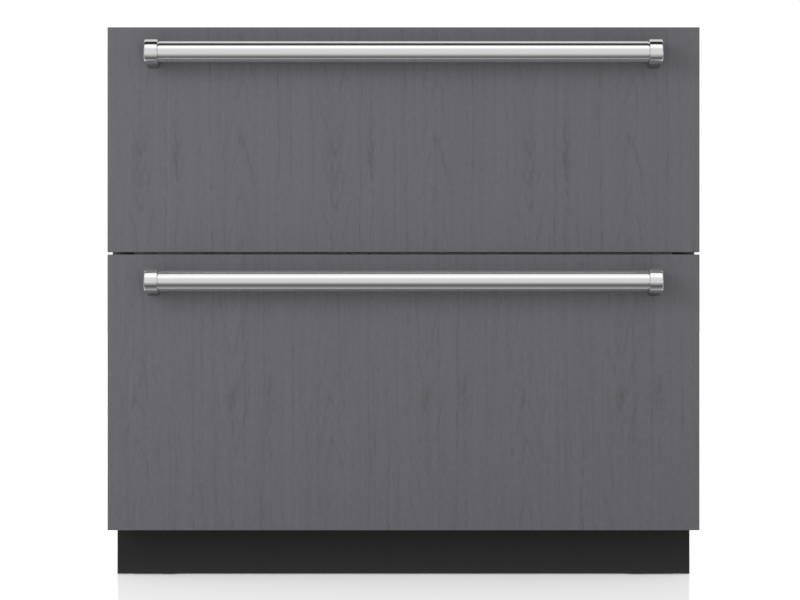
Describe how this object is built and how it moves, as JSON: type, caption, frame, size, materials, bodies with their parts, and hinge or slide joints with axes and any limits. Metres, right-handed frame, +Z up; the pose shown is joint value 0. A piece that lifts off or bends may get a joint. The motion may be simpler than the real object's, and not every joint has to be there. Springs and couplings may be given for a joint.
{
  "type": "two-drawer undercounter refrigerator",
  "caption": "Built-in undercounter refrigerator with stacked insulated drawers behind wooden panels, round bar handles, a recessed kick plate and a rear machine bay.",
  "frame": {"origin": "on the floor, in the middle of the footprint from the front of the handles to the back of the cabinet", "axes": "+Z up, +X to the right as seen from the front, the drawers open towards -Y"},
  "size_m": [0.908, 0.668, 0.8445],
  "materials": {
    "panel_veneer": "satin",
    "handle_steel": "satin",
    "front_steel": "satin",
    "cabinet_steel": "satin",
    "zinc_sheet": "satin",
    "black_steel": "satin",
    "rail_steel": "satin",
    "rigid_foam": "matte",
    "white_liner": "satin",
    "front_core": "satin",
    "gasket_rubber": "matte",
    "tub_plastic": "gloss",
    "divider_plastic": "satin",
    "frame_paint": "satin",
    "white_acetal": "satin",
    "black_plastic": "satin",
    "compressor_black": "satin",
    "fin_aluminium": "satin",
    "copper_tube": "satin",
    "foot_steel": "satin",
    "grey_nylon": "satin",
    "lamp_acrylic": "gloss",
    "grommet_rubber": "matte"
  },
  "bodies": {
    "cabinet": {"outer_shell": "cabinet_steel", "back_panel": "zinc_sheet", "base_pan": "zinc_sheet", "bay_panel": "zinc_sheet", "rear_cover": "zinc_sheet", "rear_cover_screws": "foot_steel", "foam_insulation": "rigid_foam", "inner_liner": "white_liner", "mullion": "white_liner", "counter_brackets": "rail_steel", "base_frame": "black_steel", "kick_plate": "black_steel", "compressor": "compressor_black", "compressor_grommets": "grommet_rubber", "compressor_terminal_cover": "black_plastic", "condenser": "fin_aluminium", "condenser_fan_shroud": "zinc_sheet", "condenser_fan_motor": "cabinet_steel", "refrigerant_lines": "copper_tube", "drain": "black_plastic", "evaporator": "fin_aluminium", "evaporator_fan_motor": "cabinet_steel", "duct_cover": "white_liner", "control_housing": "white_liner", "light_bars": "lamp_acrylic", "power_inlet": "black_plastic", "fixed_slides": "rail_steel", "sync_racks": "white_acetal"},
    "upper_drawer": {"upper_panel": "panel_veneer", "upper_front_pan": "front_steel", "upper_front_core": "front_core", "upper_gasket": "gasket_rubber", "upper_handle_bar": "handle_steel", "upper_handle_ends": "handle_steel", "upper_tub": "tub_plastic", "upper_drawer_frame": "frame_paint", "upper_inner_slides": "rail_steel"},
    "upper_middle_slides": {"upper_middle_slides": "rail_steel"},
    "upper_sync_shaft": {"upper_sync_shaft": "rail_steel"},
    "upper_divider": {"upper_divider": "divider_plastic"},
    "lower_drawer": {"lower_panel": "panel_veneer", "lower_front_pan": "front_steel", "lower_front_core": "front_core", "lower_gasket": "gasket_rubber", "lower_handle_bar": "handle_steel", "lower_handle_ends": "handle_steel", "lower_tub": "tub_plastic", "lower_drawer_frame": "frame_paint", "lower_inner_slides": "rail_steel"},
    "lower_middle_slides": {"lower_middle_slides": "rail_steel"},
    "lower_sync_shaft": {"lower_sync_shaft": "rail_steel"},
    "lower_divider": {"lower_divider": "divider_plastic"},
    "condenser_fan": {"condenser_fan": "black_plastic"},
    "evaporator_fan": {"evaporator_fan": "white_acetal"},
    "left_foot": {"left_foot": "foot_steel"},
    "left_roller": {"left_roller": "grey_nylon"},
    "right_foot": {"right_foot": "foot_steel"},
    "right_roller": {"right_roller": "grey_nylon"},
    "colder_button": {"colder_button": "grey_nylon"},
    "warmer_button": {"warmer_button": "grey_nylon"}
  },
  "joints": [
    {"name": "upper_drawer_slide", "type": "slide", "parent": "cabinet", "child": "upper_drawer", "axis": [0, -1, 0], "range_m": [0, 0.38]},
    {"name": "upper_middle_rail_slide", "type": "slide", "parent": "cabinet", "child": "upper_middle_slides", "axis": [0, -1, 0], "range_m": [0, 0.191]},
    {"name": "upper_sync_shaft_spin", "type": "hinge", "parent": "upper_drawer", "child": "upper_sync_shaft", "pos_m": [0, 0.2, 0.677], "axis": [1, 0, 0], "range_deg": [0, 1816]},
    {"name": "upper_divider_slide", "type": "slide", "parent": "upper_drawer", "child": "upper_divider", "axis": [1, 0, 0], "range_m": [-0.32, 0.32]},
    {"name": "lower_drawer_slide", "type": "slide", "parent": "cabinet", "child": "lower_drawer", "axis": [0, -1, 0], "range_m": [0, 0.38]},
    {"name": "lower_middle_rail_slide", "type": "slide", "parent": "cabinet", "child": "lower_middle_slides", "axis": [0, -1, 0], "range_m": [0, 0.191]},
    {"name": "lower_sync_shaft_spin", "type": "hinge", "parent": "lower_drawer", "child": "lower_sync_shaft", "pos_m": [0, 0.2, 0.372], "axis": [1, 0, 0], "range_deg": [0, 1816]},
    {"name": "lower_divider_slide", "type": "slide", "parent": "lower_drawer", "child": "lower_divider", "axis": [1, 0, 0], "range_m": [-0.32, 0.32]},
    {"name": "condenser_fan_spin", "type": "hinge", "parent": "cabinet", "child": "condenser_fan", "pos_m": [-0.105, 0.232, 0.16], "axis": [1, 0, 0], "continuous": true},
    {"name": "evaporator_fan_spin", "type": "hinge", "parent": "cabinet", "child": "evaporator_fan", "pos_m": [0, 0.243, 0.722], "axis": [0, 1, 0], "continuous": true},
    {"name": "left_foot_adjust", "type": "slide", "parent": "cabinet", "child": "left_foot", "axis": [0, 0, -1], "range_m": [-0.001, 0.015]},
    {"name": "left_roller_spin", "type": "hinge", "parent": "cabinet", "child": "left_roller", "pos_m": [-0.4, 0.285, 0.018], "axis": [1, 0, 0], "continuous": true},
    {"name": "right_foot_adjust", "type": "slide", "parent": "cabinet", "child": "right_foot", "axis": [0, 0, -1], "range_m": [-0.001, 0.015]},
    {"name": "right_roller_spin", "type": "hinge", "parent": "cabinet", "child": "right_roller", "pos_m": [0.4, 0.285, 0.018], "axis": [1, 0, 0], "continuous": true},
    {"name": "colder_button_press", "type": "slide", "parent": "cabinet", "child": "colder_button", "axis": [0, 1, 0], "range_m": [0, 0.0015], "stiffness_N_per_m": 400, "springref_m": -0.002},
    {"name": "warmer_button_press", "type": "slide", "parent": "cabinet", "child": "warmer_button", "axis": [0, 1, 0], "range_m": [0, 0.0015], "stiffness_N_per_m": 400, "springref_m": -0.002}
  ],
  "couplings": [
    {"joint": "upper_middle_rail_slide", "follows": "upper_drawer_slide", "ratio": 0.5},
    {"joint": "upper_sync_shaft_spin", "follows": "upper_drawer_slide", "rad_per_m": 83.333},
    {"joint": "lower_middle_rail_slide", "follows": "lower_drawer_slide", "ratio": 0.5},
    {"joint": "lower_sync_shaft_spin", "follows": "lower_drawer_slide", "rad_per_m": 83.333}
  ]
}
